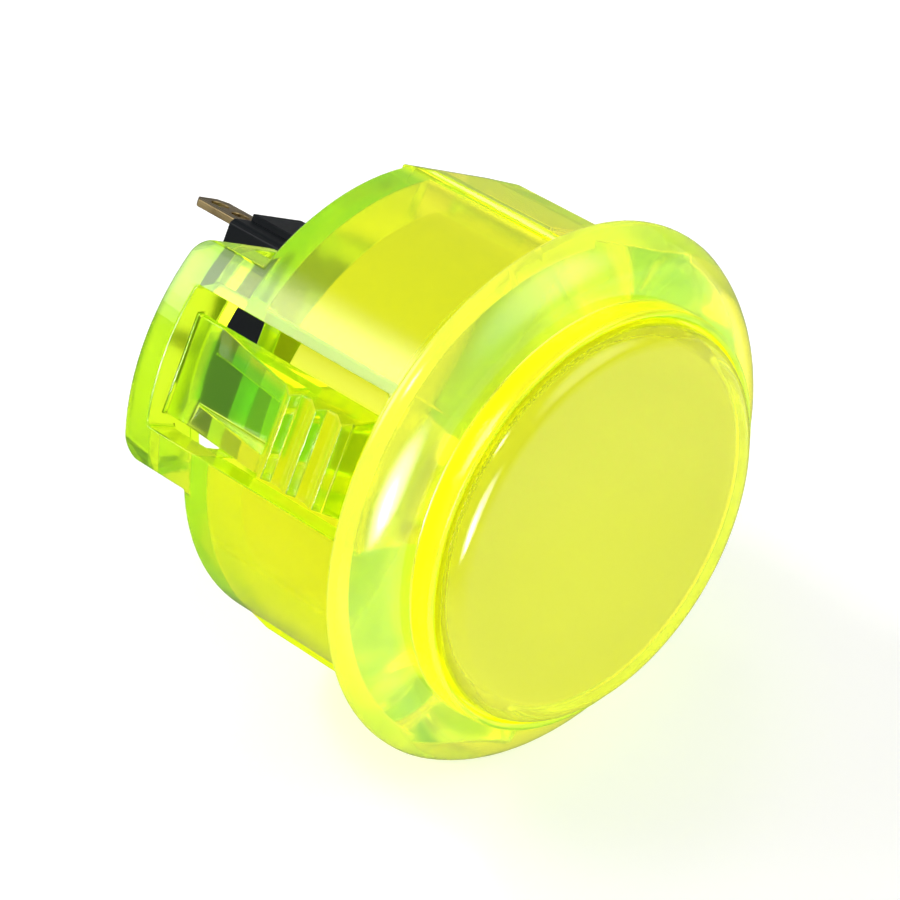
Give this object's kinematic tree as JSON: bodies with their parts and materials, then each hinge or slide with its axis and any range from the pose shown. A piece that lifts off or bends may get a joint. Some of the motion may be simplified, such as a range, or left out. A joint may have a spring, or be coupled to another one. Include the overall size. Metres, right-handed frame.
{
  "type": "arcade push button",
  "caption": "Round snap-in arcade push button with a clear domed rim, wide plunger, toothed side latches and a rear microswitch with flat terminal tabs.",
  "frame": {"origin": "on the press axis, in the plane of the rim's underside, where the panel's front face lies", "axes": "+Z along the press axis out of the panel; the latch wings lie along Y and the flat pads along X"},
  "size_m": [0.0333, 0.0332, 0.0369],
  "materials": {
    "clear_tint": "clear fluorescent yellow-green, polished",
    "clear_cap": "clear fluorescent yellow-green, polished",
    "core_plastic": "matte yellow-green",
    "switch_black": "satin black",
    "actuator_plastic": "satin off-white",
    "terminal_brass": "stamped brass",
    "contact_silver": "silver alloy",
    "spring_steel": "drawn wire"
  },
  "bodies": {
    "button_body": {"housing": "clear_tint", "switch_case": "switch_black", "switch_cover": "switch_black", "return_spring": "spring_steel", "common_terminal": "terminal_brass", "open_terminal": "terminal_brass", "fixed_contact": "contact_silver"},
    "plunger": {"plunger_cap": "clear_cap", "plunger_core": "core_plastic"},
    "actuator": {"switch_actuator": "actuator_plastic"},
    "rocker": {"contact_rocker": "terminal_brass", "moving_contact": "contact_silver"}
  },
  "joints": [
    {"name": "plunger_press", "type": "slide", "parent": "button_body", "child": "plunger", "axis": [0, 0, -1], "range_m": [0, 0.0018], "stiffness_N_per_m": 280, "springref_m": -0.0018},
    {"name": "actuator_press", "type": "slide", "parent": "button_body", "child": "actuator", "axis": [0, 0, -1], "range_m": [0, 0.0018], "deforming": ["return_spring"]},
    {"name": "rocker_tip", "type": "hinge", "parent": "button_body", "child": "rocker", "pos_m": [-0.00536, 0, -0.0218], "axis": [0, 1, 0], "range_deg": [0, 4.15]}
  ],
  "couplings": [
    {"joint": "actuator_press", "follows": "plunger_press", "ratio": 1},
    {"joint": "rocker_tip", "follows": "plunger_press", "rad_per_m": 40.2}
  ]
}
